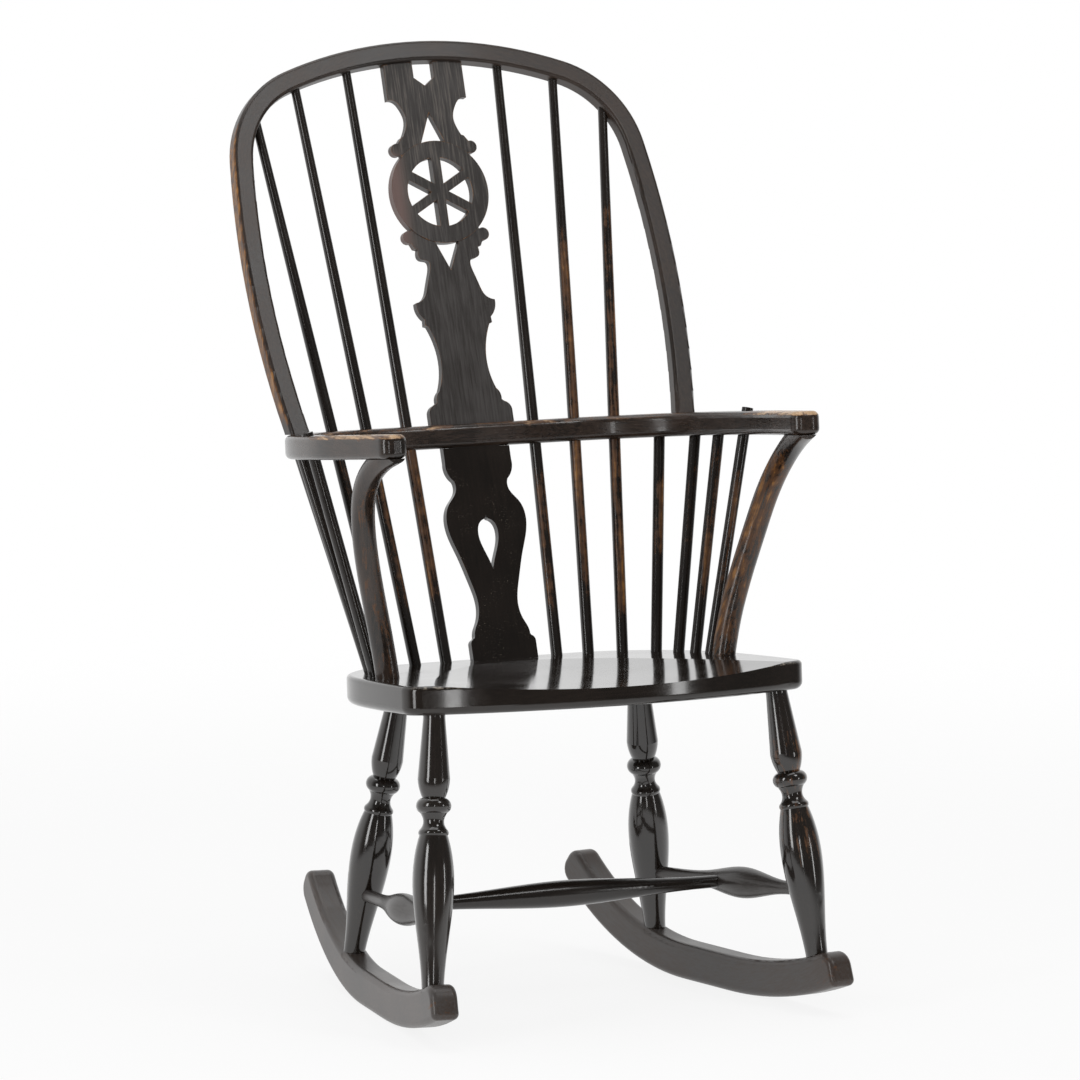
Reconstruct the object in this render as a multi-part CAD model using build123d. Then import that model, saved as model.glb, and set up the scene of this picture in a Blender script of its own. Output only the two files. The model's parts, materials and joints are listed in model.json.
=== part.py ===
from build123d import *
import os
from math import asin, atan, cos, degrees, radians, sin, sqrt, tan

# Hoop back rocking chair, in millimetres. +X is the sitter's left, the chair faces -Y, +Z is up.
# Heights are above the floor; y = 0 is a working line across the seat. The last step moves every
# piece so that the origin lies on the floor under the middle of the chair.

# ---- fits -------------------------------------------------------------------------------------
fit = 0.1                        # clearance of every tenon in its socket, and of scribed shoulders
socket_relief = 1.0              # empty depth left at the bottom of a blind socket

# ---- seat -------------------------------------------------------------------------------------
seat_height = 386.0              # top surface at y = 0
seat_slope = 4.4                 # degrees, down towards the back
seat_thickness = 33.0
seat_half_width = 248.0          # at the front corners
seat_front_y = -187.0            # middle of the bowed front edge
seat_corner_y = -128.0
seat_corner_radius = 26.0
seat_waist_half_width = 243.0    # side of the seat at y = 0
seat_flank = (220.0, 102.0)      # x, y where the side turns in towards the back
seat_quarter = (168.0, 162.0)    # x, y of the rear quarter
seat_back_y = 184.0
seat_top_round = 5.0
seat_bottom_round = 9.0
saddle_radius = 2600.0           # hollow of the seat across its width
saddle_front_depth = 11.0        # hollow at the front edge
saddle_back_y = 120.0            # the hollow runs out here

# ---- rockers ----------------------------------------------------------------------------------
rocker_front_radius = 625.0      # of the sole in front of its resting flat
rocker_back_radius = 388.0       # of the sole behind it
rocker_depth = 42.0
rocker_width = 32.0
rocker_rest_front_y = -20.0      # the chair rests on a flat of the sole from here
rocker_rest_back_y = 72.0        # to here, just behind its centre of mass
rocker_spread = 213.0            # centre line from the middle of the chair at y = 0
rocker_toe = 8.5                 # degrees, the rockers close up towards the back
rocker_front_y = -232.0
rocker_back_y = 322.0
rocker_nose_radius = 19.0
rocker_toe_radius = 7.0
rocker_tail_radius = 17.0
rocker_round = 7.0               # worn long edges

# ---- legs -------------------------------------------------------------------------------------
front_leg_head = (213.0, -121.0)  # x, y on the underside of the seat
rear_leg_head = (152.0, 114.0)
front_leg_foot_y = -176.0
rear_leg_foot_y = 147.0
leg_head_diameter = 25.0
leg_head_depth = 23.0            # into the seat
leg_foot_diameter = 25.0
leg_tenon_diameter = 18.0
leg_tenon_depth = 24.0           # into the rocker
leg_vase_diameter = 36.5
leg_vase_drop = 72.0             # widest part of the vase below the seat
leg_vase_bulge = 1.1             # of its rounded lower end
leg_neck_diameter = 26.0
leg_neck_drop = 93.0
leg_bead_diameter = 39.5
leg_bead_height = 17.0
leg_waist_diameter = 24.0
leg_waist_drop = 122.0
leg_ring_diameter = 34.0
leg_ring_height = 6.0
leg_ring_drop = 132.0
leg_swell_diameter = 45.5
leg_swell_place = 0.42           # of the way from the ring to the foot
leg_foot_spare = 15.0            # extra length that the scribing of the foot cuts away
leg_head_parallel = 4.0          # parallel neck below the seat

# ---- stretchers -------------------------------------------------------------------------------
side_stretcher_front_rise = 75.0  # above the foot of the front leg, along the leg
side_stretcher_rear_rise = 66.4   # above the foot of the rear leg, along the leg
side_stretcher_end_diameter = 15.0
side_stretcher_neck_diameter = 20.5
side_stretcher_bulb_diameter = 36.0
side_stretcher_neck_place = 0.39  # of the length, from the rear leg
side_stretcher_bulb_place = 0.59
side_stretcher_past = 3.0         # tenon past the axis of the leg
cross_stretcher_place = 0.49      # along the side stretchers, from the rear
cross_stretcher_end_diameter = 14.5
cross_stretcher_middle_diameter = 30.5
cross_stretcher_past = 3.0        # tenon past the axis of the side stretcher
stretcher_runout = 8.0            # parallel length next to the socket

# ---- back -------------------------------------------------------------------------------------
back_lean = 19.1                 # degrees from upright, of the splats and spindles
splat_foot_y = 150.0             # where the lower splat meets the seat
hoop_lean = 26.2
hoop_top_height = 1055.5         # centre line at the top
hoop_half_width = 258.5          # centre line at the widest
hoop_width = 24.0
hoop_thickness = 20.0
hoop_top_radius = 500.0
hoop_shoulder_radius = 116.0
hoop_foot_half_width = 243.8     # centre line where it meets the arm bow
hoop_shoulder_end = 82.5         # degrees from the top, where the shoulder meets the side
hoop_round = 4.0
hoop_tenon_diameter = 16.0
hoop_tenon_depth = 15.0

# ---- arm bow ----------------------------------------------------------------------------------
arm_height = 665.0               # top surface at y = 0
arm_slope = 6.5                  # degrees, down towards the back
arm_thickness = 27.0
arm_width = 34.0
arm_widest_half_width = 270.5    # centre line
arm_widest_y = 72.0
arm_front_half_width = 255.0
arm_front_y = -117.0
arm_toe = 6.8                    # degrees that the arms turn in at their front ends
arm_back_bulge = 2.0             # the middle of the back stands behind the spindles
arm_end_radius = 13.0
arm_round = 7.0

# ---- arm supports -----------------------------------------------------------------------------
support_foot = (211.0, 8.0)      # x, y on the seat
support_head_y = -86.0
support_diameter = 27.0
support_tenon_diameter = 17.0
support_tenon_depth = 20.0
# Bends of the crook between its foot and its head: shares of the way out, forwards and up.
support_bends = ((0.29, 0.02, 0.27), (0.65, 0.13, 0.53), (0.90, 0.30, 0.74), (1.03, 0.58, 0.89))

# ---- spindles ---------------------------------------------------------------------------------
spindle_edge_inset = 27.0        # of every spindle foot from the edge of the seat
long_spindle_feet = (70.0, 113.0, 165.0)     # along the back edge of the seat from its middle
long_spindle_heads = (97.0, 168.0, 237.0)    # along the hoop from its top
long_spindle_diameter = 13.6
long_spindle_head_diameter = 10.5
short_spindle_feet = (214.0, 249.0, 280.0, 311.0)   # along the back edge of the seat
short_spindle_heads = (232.0, 279.0, 317.0, 368.0)  # along the arm bow from its middle
short_spindle_diameter = 13.2
spindle_foot_depth = 22.0        # into the seat
spindle_head_depth = 14.0        # short spindles, into the arm bow
through_spindle_proud = 3.5      # the foremost short spindle stands above the arm bow

# ---- splats -----------------------------------------------------------------------------------
splat_thickness = 9.0
splat_tenon_depth = 9.0          # into the seat, the arm bow and the hoop
splat_tenon_inset = 12.0         # shoulder at each side of a tenon
wheel_drop = 167.7               # centre of the wheel below the hoop's centre line
wheel_radius = 61.0
wheel_rim = 20.0
wheel_spoke = 11.0
wheel_spokes = 6
wheel_hub_radius = 9.0
wheel_relief = 0.8               # the wheel stands out from the splat
waist_run = 243.6                # from the arm bow to the wheel, as the outline below is drawn
splat_bead_radius = 7.5
splat_bead_half_width = 47.0
upper_splat_foot = 52.5          # half widths of the upper splat, from the arm bow up
upper_splat_ogee = 41.0
upper_splat_waist = 29.0
upper_splat_lug = 50.0
upper_splat_neck = 30.0
upper_splat_block = 50.0
lower_splat_foot = 41.0          # half widths of the lower splat, from the seat up
lower_splat_waist = 25.0
lower_splat_belly = 50.0
lower_splat_neck = 33.0
lower_splat_head = 42.0
notch_half_width = 13.0          # notch at the top of the upper splat
notch_rise = 127.0               # foot of the notch above the centre of the wheel
notch_depth = 10.0               # of its pointed foot
bead_rise = 52.0                 # beads above and below the centre of the wheel
gusset_half_width = 15.5         # three-cornered openings above and below the wheel
upper_gusset_rise = 95.0
lower_gusset_rise = 93.0
gusset_overlap = 3.0             # their bases run under the rim of the wheel
hoop_tenon_short = 2.0           # prongs end this far short of the hoop's centre line
teardrop_half_width = 12.5       # opening of the lower splat
teardrop_top = 168.0             # above the seat, along the splat
teardrop_bottom = 103.0
spike_half_width = 2.0


# ---- frames that the pieces share -------------------------------------------------------------
seat_plane = Plane(Plane((0, 0, seat_height)).location * Rotation(-seat_slope, 0, 0))
seat_under = seat_plane.offset(-seat_thickness)
arm_plane = Plane(Plane((0, 0, arm_height)).location * Rotation(-arm_slope, 0, 0))
arm_under = arm_plane.offset(-arm_thickness)


def seat_point(x, y, lift=0.0):
    """A point on the seat's top surface, or that far above it."""
    return seat_plane.from_local_coords(Vector(x, y / cos(radians(seat_slope)), lift))


def axis_frame(start, end):
    """A frame at start whose Z runs to end."""
    return Plane(origin=start, z_dir=end - start)


def meet(plane, start, end):
    """Where the line from start to end crosses a plane."""
    run = end - start
    share = (plane.origin - start).dot(plane.z_dir) / run.dot(plane.z_dir)
    return start + run * share


def rod(start, end, diameter):
    """A round rod between two points."""
    return axis_frame(start, end).location * Cylinder(
        diameter / 2, (end - start).length, align=(Align.CENTER, Align.CENTER, Align.MIN))


def half_space(plane):
    """A block that fills the side of a plane its normal points to."""
    return plane.location * Box(2500, 2500, 900, align=(Align.CENTER, Align.CENTER, Align.MIN))


def flipped(plane):
    """The same plane seen from its other side."""
    return Plane(origin=plane.origin, x_dir=plane.x_dir, z_dir=-plane.z_dir)


# The splats lie in one leaning plane: local X across the chair, local Y up the lean.
splat_origin = seat_point(0, splat_foot_y)
splat_plane = Plane(origin=splat_origin, x_dir=(1, 0, 0),
                    z_dir=(0, -cos(radians(back_lean)), sin(radians(back_lean))))


def up_the_splat(height):
    """Distance up the splat's plane of a height above the floor."""
    return (height - splat_origin.Z) / cos(radians(back_lean))


def splat_y(height):
    """Depth of the splat's plane at a height above the floor."""
    return splat_origin.Y + (height - splat_origin.Z) * tan(radians(back_lean))


# The hoop's own plane leans further, and meets the splat's plane at the top of the hoop.
hoop_plane = Plane(origin=(0, splat_y(hoop_top_height), hoop_top_height), x_dir=(1, 0, 0),
                   z_dir=(0, -cos(radians(hoop_lean)), sin(radians(hoop_lean))))


# ---- hoop centre line -------------------------------------------------------------------------
hoop_drop = (meet(arm_plane, hoop_plane.origin, hoop_plane.from_local_coords(Vector(0, -1, 0)))
             - hoop_plane.origin).length


def hoop_angles(side_radius):
    """Turns of the top, and of the side below its widest place, for a radius of the side."""
    end = radians(hoop_shoulder_end)
    reach = hoop_half_width - hoop_shoulder_radius * sin(end) - side_radius * (1 - sin(end))
    top_turn = asin(reach / (hoop_top_radius - hoop_shoulder_radius))
    widest_drop = (hoop_top_radius - (hoop_top_radius - hoop_shoulder_radius) * cos(top_turn)
                   + (side_radius - hoop_shoulder_radius) * cos(end))
    return top_turn, asin((hoop_drop - widest_drop) / side_radius)


def hoop_side_radius():
    """The radius that brings the foot of the hoop to its place on the arm bow."""
    low, high = hoop_drop, 10 * hoop_drop
    for _ in range(50):
        middle = (low + high) / 2
        turned_in = middle * (1 - cos(hoop_angles(middle)[1]))
        wide = hoop_half_width - turned_in < hoop_foot_half_width
        low, high = (middle, high) if wide else (low, middle)
    return low


def hoop_half_line():
    """Right half of the hoop's centre line, from its top down past the arm bow."""
    radius = hoop_side_radius()
    top_turn, low_turn = [degrees(turn) for turn in hoop_angles(radius)]
    past_arm = degrees(2 * arm_thickness / radius)
    side_turn = 90 - hoop_shoulder_end + low_turn + past_arm
    top = JernArc((0, 0), (1, 0), hoop_top_radius, -top_turn)
    shoulder = JernArc(top @ 1, top % 1, hoop_shoulder_radius, -(hoop_shoulder_end - top_turn))
    side = JernArc(shoulder @ 1, shoulder % 1, radius, -side_turn)
    return hoop_plane.location * Wire([top.edge(), shoulder.edge(), side.edge()])


hoop_line = hoop_half_line()


def on_hoop(distance):
    """A point of the hoop's centre line, that far from its top."""
    return hoop_line.position_at(distance, position_mode=PositionMode.LENGTH)


def line_height_on(wire, plane):
    """Share along a wire at which it comes down through a plane."""
    low, high = 0.0, 1.0
    for _ in range(40):
        middle = (low + high) / 2
        above = (wire.position_at(middle) - plane.origin).dot(plane.z_dir) > 0
        low, high = (middle, high) if above else (low, middle)
    return low


hoop_foot_share = line_height_on(hoop_line, arm_plane)
hoop_foot = hoop_line.position_at(hoop_foot_share)
hoop_foot_run = hoop_line.tangent_at(hoop_foot_share).normalized()


# ---- seat outline and the feet on it ----------------------------------------------------------
def seat_half_edge():
    """Right side and back edge of the seat, from the front corner to the middle of the back."""
    return Spline((seat_half_width, seat_corner_y), (seat_waist_half_width, 0), seat_flank,
                  seat_quarter, (0, seat_back_y), tangents=((0, 1), (-1, 0)))


seat_edge = seat_half_edge()


def on_spindle_line(distance):
    """x, y of a foot on the seat: along the back edge from its middle, set in from the edge."""
    place = seat_edge.length - distance
    point = seat_edge.position_at(place, position_mode=PositionMode.LENGTH)
    run = seat_edge.tangent_at(place, position_mode=PositionMode.LENGTH)
    return point.X - run.Y * spindle_edge_inset, point.Y + run.X * spindle_edge_inset


def spindle_foot(distance):
    """The same foot as a point on the seat's top surface."""
    return seat_point(*on_spindle_line(distance))


# ---- arm bow centre line ----------------------------------------------------------------------
def on_bow_plane(point):
    """x, y of a point in the arm bow's own plane."""
    local = arm_plane.to_local_coords(point)
    return local.X, local.Y


def crossing(index):
    """x, y in the bow's plane where a long spindle passes the middle of its thickness."""
    return on_bow_plane(meet(arm_plane.offset(-arm_thickness / 2),
                             spindle_foot(long_spindle_feet[index]),
                             on_hoop(long_spindle_heads[index])))


def arm_half_points():
    """Centre line of the bow in plan, from the middle of the back to the front end."""
    seated = on_bow_plane(hoop_foot + hoop_foot_run * arm_thickness / 2)
    return [(0, crossing(0)[1] + arm_back_bulge), crossing(2), seated,
            (arm_widest_half_width, arm_widest_y), (arm_front_half_width, arm_front_y)]


def arm_centre_line():
    """Half of the bow's centre line, flat in plan, from the middle of the back to the left end."""
    return Spline(*arm_half_points(), tangents=((1, 0), (-tan(radians(arm_toe)), -1)))


arm_line = arm_centre_line()


def on_arm(distance, lift=0.0):
    """A point of the arm bow, along its centre line from the middle, above or below its top."""
    point = arm_line.position_at(distance, position_mode=PositionMode.LENGTH)
    return arm_plane.from_local_coords(Vector(point.X, point.Y, lift))


# ---- rockers ----------------------------------------------------------------------------------
def rocker_frame(side):
    """Upright frame along a rocker: local X to the back, local Y up, local Z across."""
    run = Vector(-side * tan(radians(rocker_toe)), 1, 0).normalized()
    return Plane(origin=(side * rocker_spread, 0, 0), x_dir=run, z_dir=run.cross(Vector(0, 0, 1)))


def along_rocker(y):
    """Distance along a rocker of a place across the chair."""
    return y / cos(radians(rocker_toe))


def rocker_top(y, side):
    """The point of a rocker's centre line on its top surface."""
    rest_y = min(max(y, rocker_rest_front_y), rocker_rest_back_y)
    radius = rocker_front_radius if y < rest_y else rocker_back_radius
    height = radius - sqrt((radius - rocker_depth) ** 2 - along_rocker(y - rest_y) ** 2)
    return Vector(side * (rocker_spread - y * tan(radians(rocker_toe))), y, height)


def nearest_across(body, point):
    """The edge across an extruded outline that stands nearest to a corner of the outline."""
    across = body.edges().filter_by(Axis.Z)
    return min(across, key=lambda e: (Vector(e.center().X, e.center().Y, 0) - point).length)


def rocker_arcs(offset):
    """The arcs in front of and behind the flat, offset from the sole, both drawn backwards."""
    arcs = []
    for radius, rest_y, end_y in ((rocker_front_radius, rocker_rest_front_y, rocker_front_y),
                                  (rocker_back_radius, rocker_rest_back_y, rocker_back_y)):
        turn = degrees(asin(along_rocker(end_y - rest_y) / radius))
        start = -90 + min(turn, 0)
        arcs.append(CenterArc((along_rocker(rest_y), radius), radius + offset, start, abs(turn)))
    return arcs


def rocker_blank(side, grow=0.0):
    """A rocker before its sockets, or the same made larger by a clearance."""
    front_sole, back_sole = rocker_arcs(grow)
    front_top, back_top = rocker_arcs(-rocker_depth - grow)
    outline = Wire([front_sole.edge(), Line(front_sole @ 1, back_sole @ 0).edge(),
                    back_sole.edge(), Line(back_sole @ 1, back_top @ 1).edge(),
                    back_top.edge(), Line(back_top @ 0, front_top @ 1).edge(),
                    front_top.edge(), Line(front_top @ 0, front_sole @ 0).edge()])
    body = extrude(Face(outline), rocker_width / 2 + grow, both=True)
    corners = ((front_top @ 0, rocker_nose_radius), (front_sole @ 0, rocker_toe_radius),
               (back_sole @ 1, rocker_tail_radius), (back_top @ 1, rocker_tail_radius))
    for corner, radius in corners:
        body = fillet(nearest_across(body, corner), radius)
    body = fillet(body.faces().filter_by(Axis.Z).edges(), rocker_round)
    return rocker_frame(side).location * body


# ---- legs -------------------------------------------------------------------------------------
class Leg:
    """One leg: its axis, its turned profile and its sockets."""

    def __init__(self, side, head, foot_y):
        self.side = side
        self.head = seat_under.from_local_coords(Vector(side * head[0], head[1], 0))
        self.foot = rocker_top(foot_y, side)
        self.run = (self.head - self.foot).normalized()
        self.length = (self.head - self.foot).length

    def at(self, rise):
        """Point on the axis, that far up from the foot."""
        return self.foot + self.run * rise

    def turning(self):
        """The turned leg along Z from its foot, with its head tenon and a foot left long."""
        top = self.length
        ring = top - leg_ring_drop
        swell = ring * (1 - leg_swell_place)
        bead = top - leg_neck_drop - leg_bead_height / 2
        foot_r = leg_foot_diameter / 2
        head_r = leg_head_diameter / 2
        ring_r = leg_ring_diameter / 2
        neck_r = leg_neck_diameter / 2
        waist_r = leg_waist_diameter / 2
        bead_r = leg_bead_diameter / 2
        swell_r = leg_swell_diameter / 2
        parallel = top - leg_head_parallel
        half_bead = leg_bead_height / 2
        half_ring = leg_ring_height / 2
        lower = Spline((foot_r, -leg_foot_spare), (foot_r, 0), (swell_r, swell),
                       (ring_r - 1, ring - half_ring))
        ring_arc = ThreePointArc(lower @ 1, (ring_r, ring), (ring_r - 1, ring + half_ring))
        cone = Spline(ring_arc @ 1, (waist_r, top - leg_waist_drop),
                      (neck_r + 2, bead - half_bead))
        bead_arc = ThreePointArc(cone @ 1, (bead_r, bead), (neck_r, bead + half_bead))
        vase_r = leg_vase_diameter / 2
        vase_foot = (bead + half_bead + top - leg_vase_drop) / 2
        vase_end = ThreePointArc(bead_arc @ 1, ((neck_r + vase_r) / 2 + leg_vase_bulge, vase_foot),
                                 (vase_r, top - leg_vase_drop))
        vase = Line(vase_end @ 1, (head_r, parallel))
        tip = top + leg_head_depth
        rest = Polyline(vase @ 1, (head_r, tip), (0, tip), (0, -leg_foot_spare), lower @ 0)
        turned = (lower, ring_arc, cone, bead_arc, vase_end, vase)
        wire = Wire([s.edge() for s in turned] + rest.edges())
        outline = Plane.XZ.location * Face(wire)
        return revolve(outline, Axis.Z)

    def blank(self):
        """The leg in place, scribed to its rocker, with the foot tenon."""
        body = axis_frame(self.foot, self.head).location * self.turning()
        body -= rocker_blank(self.side, fit)
        return body + rod(self.at(-leg_tenon_depth), self.at(leg_foot_spare), leg_tenon_diameter)

    def head_hole(self):
        """Socket in the seat."""
        return rod(self.at(self.length - leg_head_depth),
                   self.at(self.length + leg_head_depth + socket_relief),
                   leg_head_diameter + 2 * fit)

    def foot_hole(self):
        """Socket in the rocker."""
        return rod(self.at(-leg_tenon_depth - socket_relief), self.at(leg_tenon_depth),
                   leg_tenon_diameter + 2 * fit)


def side_name(side):
    """-X is the chair's right as its sitter has it."""
    return "left" if side > 0 else "right"


sides = (1, -1)
legs = {}
for side in sides:
    legs["front", side] = Leg(side, front_leg_head, front_leg_foot_y)
    legs["rear", side] = Leg(side, rear_leg_head, rear_leg_foot_y)


# ---- stretchers -------------------------------------------------------------------------------
def turned_bar(start, end, places):
    """A turned bar from start to end; places are (distance, radius) along it."""
    length = (end - start).length
    first_r, last_r = places[0][1], places[-1][1]
    curve = Spline(*[(r, z) for z, r in places], tangents=((0, 1), (0, 1)))
    rest = Polyline(curve @ 1, (last_r, length), (0, length), (0, 0), (first_r, 0), curve @ 0)
    outline = Plane.XZ.location * Face(Wire([curve.edge()] + rest.edges()))
    return axis_frame(start, end).location * revolve(outline, Axis.Z)


def side_stretcher_ends(side):
    """Where a side stretcher's axis meets the axes of its two legs."""
    return (legs["rear", side].at(side_stretcher_rear_rise),
            legs["front", side].at(side_stretcher_front_rise))


def side_stretcher_tips(side):
    """The ends of its tenons, on the far side of each leg's axis."""
    rear, front = side_stretcher_ends(side)
    run = (front - rear).normalized()
    return rear - run * side_stretcher_past, front + run * side_stretcher_past



def side_stretcher_blank(side):
    """A side stretcher before the socket of the cross stretcher."""
    rear, front = side_stretcher_tips(side)
    length = (front - rear).length
    end_r = side_stretcher_end_diameter / 2
    parallel = side_stretcher_past + leg_swell_diameter / 2 + stretcher_runout
    return turned_bar(rear, front, (
        (parallel, end_r),
        (side_stretcher_neck_place * length, side_stretcher_neck_diameter / 2),
        (side_stretcher_bulb_place * length, side_stretcher_bulb_diameter / 2),
        (length - parallel, end_r)))


def side_stretcher_holes(side):
    """Its sockets in the two legs."""
    rear, front = side_stretcher_tips(side)
    run = (front - rear).normalized()
    across = side_stretcher_past + leg_swell_diameter / 2 + 2
    diameter = side_stretcher_end_diameter + 2 * fit
    return {"rear": rod(rear - run * socket_relief, rear + run * across, diameter),
            "front": rod(front + run * socket_relief, front - run * across, diameter)}


def cross_stretcher_tips():
    """Tips of the cross stretcher's tenons, just past the axes of the side stretchers."""
    tips = []
    for side in sides:
        rear, front = side_stretcher_ends(side)
        tips.append(rear + (front - rear) * cross_stretcher_place
                    + Vector(side * cross_stretcher_past, 0, 0))
    return tips


def cross_stretcher():
    start, end = cross_stretcher_tips()
    length = (end - start).length
    end_r = cross_stretcher_end_diameter / 2
    parallel = cross_stretcher_past + side_stretcher_bulb_diameter / 2 + stretcher_runout
    return turned_bar(start, end, (
        (parallel, end_r), (length / 2, cross_stretcher_middle_diameter / 2),
        (length - parallel, end_r)))


def side_stretcher(side):
    """A side stretcher with the socket of the cross stretcher."""
    tips = cross_stretcher_tips()
    tip = tips[sides.index(side)]
    inward = (tips[1] - tips[0]).normalized() * side
    across = side_stretcher_bulb_diameter
    hole = rod(tip - inward * socket_relief, tip + inward * across,
               cross_stretcher_end_diameter + 2 * fit)
    return side_stretcher_blank(side) - hole


# ---- spindles ---------------------------------------------------------------------------------
def long_spindle_ends(index, side):
    """Foot on the seat and head on the hoop's centre line."""
    foot = spindle_foot(long_spindle_feet[index])
    head = on_hoop(long_spindle_heads[index])
    return Vector(side * foot.X, foot.Y, foot.Z), Vector(side * head.X, head.Y, head.Z)


def long_spindle(index, side, grow=0.0):
    """A long spindle, or the hole it needs: parallel up to the arm bow, then tapering."""
    foot, head = long_spindle_ends(index, side)
    run = (head - foot).normalized()
    start = foot - run * (spindle_foot_depth + (socket_relief if grow else 0))
    stop = head + run * (socket_relief if grow else 0)
    above_arm = (meet(arm_plane, foot, head) - start).length + arm_thickness / 2
    length = (stop - start).length
    low_r = long_spindle_diameter / 2 + grow
    high_r = long_spindle_head_diameter / 2 + grow
    parallel = length - hoop_width
    outline = Polyline((0, 0), (low_r, 0), (low_r, above_arm), (high_r, parallel),
                       (high_r, length), (0, length), close=True)
    return axis_frame(start, stop).location * revolve(
        Plane.XZ.location * Face(outline.wire()), Axis.Z)


def short_spindle(index, side, grow=0.0):
    """A short spindle, or the hole it needs. The foremost one goes right through the bow."""
    foot = spindle_foot(short_spindle_feet[index])
    head = on_arm(short_spindle_heads[index], -arm_thickness)
    foot = Vector(side * foot.X, foot.Y, foot.Z)
    head = Vector(side * head.X, head.Y, head.Z)
    run = (head - foot).normalized()
    relief = socket_relief if grow else 0
    past = spindle_head_depth
    if index == len(short_spindle_feet) - 1:
        past = (meet(arm_plane, foot, head) - head).length + through_spindle_proud
    diameter = short_spindle_diameter + 2 * grow
    return rod(foot - run * (spindle_foot_depth + relief), head + run * (past + relief), diameter)


# ---- arm supports -----------------------------------------------------------------------------
def support_route():
    """The left crook's centre line from the seat to the underside of the arm bow."""
    foot = seat_point(*support_foot)
    reach = arm_front_share(support_head_y)
    head = on_arm(reach, -arm_thickness)
    run = head - foot
    bends = [foot + Vector(run.X * out, run.Y * forward, run.Z * up)
             for out, forward, up in support_bends]
    return Spline(foot, *bends, head)


def arm_front_share(y):
    """Distance along the bow's centre line, from its middle, of a place in front of the hoop."""
    low, high = arm_line.length / 2, arm_line.length
    for _ in range(40):
        middle = (low + high) / 2
        low, high = (middle, high) if on_arm(middle).Y > y else (low, middle)
    return low


def support_body(route):
    """The bent body of the left support, scribed to the seat and the arm bow."""
    foot_run, head_run = (route % 0).normalized(), (route % 1).normalized()
    low, high = route @ 0 - foot_run * support_diameter, route @ 1 + head_run * support_diameter
    inner = [route @ (share / 6) for share in range(7)]
    long_route = Spline(low, *inner, high, tangents=(foot_run, head_run))
    section = axis_frame(low, low + foot_run).location * Circle(support_diameter / 2)
    body = sweep(section, long_route)
    body -= half_space(arm_under.offset(-fit))
    return body - half_space(flipped(seat_plane).offset(-fit))


def support_tenons(route, grow=0.0):
    """The left support's tenons at its foot and its head, or their sockets."""
    depth = support_tenon_depth + (socket_relief if grow else 0)
    tenons = []
    for point, run in ((route @ 0, -(route % 0)), (route @ 1, route % 1)):
        run = run.normalized()
        tenons.append(rod(point - run * support_tenon_depth, point + run * depth,
                          support_tenon_diameter + 2 * grow))
    return tenons


support_line = support_route()


def handed(piece, side):
    """A left-hand piece, or its mirror image for the other side."""
    return piece if side > 0 else mirror(piece, Plane.YZ)


def arm_support(side):
    foot, head = support_tenons(support_line)
    return handed(support_body(support_line) + foot + head, side)


# ---- seat -------------------------------------------------------------------------------------
def seat_blank():
    """The board with its edges rounded and its saddle hollowed out."""
    front = ThreePointArc((-seat_half_width, seat_corner_y), (0, seat_front_y),
                          (seat_half_width, seat_corner_y))
    right = seat_edge
    left = mirror(seat_edge, Plane.YZ)
    board = extrude(Face(Wire([front.edge(), right.edge(), left.edge()])), -seat_thickness)
    corners = board.edges().filter_by(Axis.Z).group_by(Axis.Y)[0]
    board = fillet(corners, seat_corner_radius)
    board = fillet(board.faces().sort_by(Axis.Z)[-1].edges(), seat_top_round)
    board = fillet(board.faces().sort_by(Axis.Z)[0].edges(), seat_bottom_round)
    return seat_plane.location * (board - saddle())


def saddle():
    """The hollow: a very large cylinder along the seat, dipping towards the front."""
    dip = degrees(atan(saddle_front_depth / (saddle_back_y - seat_front_y)))
    drum = Rotation(90, 0, 0) * Cylinder(saddle_radius, 3 * saddle_back_y - 2 * seat_front_y)
    return Pos(0, saddle_back_y, 0) * Rotation(dip, 0, 0) * Pos(0, 0, saddle_radius) * drum


def seat():
    body = seat_blank()
    for side in sides:
        body -= legs["front", side].head_hole()
        body -= legs["rear", side].head_hole()
        body -= handed(support_tenons(support_line, fit)[0], side)
        for index in range(len(long_spindle_feet)):
            body -= long_spindle(index, side, fit)
        for index in range(len(short_spindle_feet)):
            body -= short_spindle(index, side, fit)
    return body - lower_splat_tenons(fit)[0]


def rocker(side):
    body = rocker_blank(side)
    body -= legs["front", side].foot_hole()
    return body - legs["rear", side].foot_hole()


def leg(end, side):
    """A leg with the socket of its side stretcher."""
    return legs[end, side].blank() - side_stretcher_holes(side)[end]


# ---- arm bow ----------------------------------------------------------------------------------
def clear_of_middle(body):
    """The edges of a half bow, without those of the cut at the middle of the chair."""
    return [e for e in body.edges() if e.center().X > arm_width / 2]


def stands(edge):
    """Whether an edge of the bow runs through its thickness."""
    return abs((edge @ 1 - edge @ 0).Z) > arm_thickness / 2


def arm_bow_blank():
    """The bent bow before its holes: one half rounded at its end, and its mirror image."""
    section = Plane(origin=arm_line @ 0, x_dir=(0, 0, 1), z_dir=arm_line % 0).location \
        * Rectangle(arm_thickness, arm_width)
    half = sweep(section, arm_line)
    half = fillet([e for e in clear_of_middle(half) if stands(e)], arm_end_radius)
    half = fillet([e for e in clear_of_middle(half) if not stands(e)], arm_round)
    return arm_plane.offset(-arm_thickness / 2).location * (half + mirror(half, Plane.YZ))


def hoop_tenon(side, grow=0.0):
    """Round tenon of one end of the hoop in the arm bow, or its socket."""
    foot = Vector(side * hoop_foot.X, hoop_foot.Y, hoop_foot.Z)
    run = Vector(side * hoop_foot_run.X, hoop_foot_run.Y, hoop_foot_run.Z)
    depth = hoop_tenon_depth + (socket_relief if grow else 0)
    return rod(foot - run * hoop_tenon_depth, foot + run * depth, hoop_tenon_diameter + 2 * grow)


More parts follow.
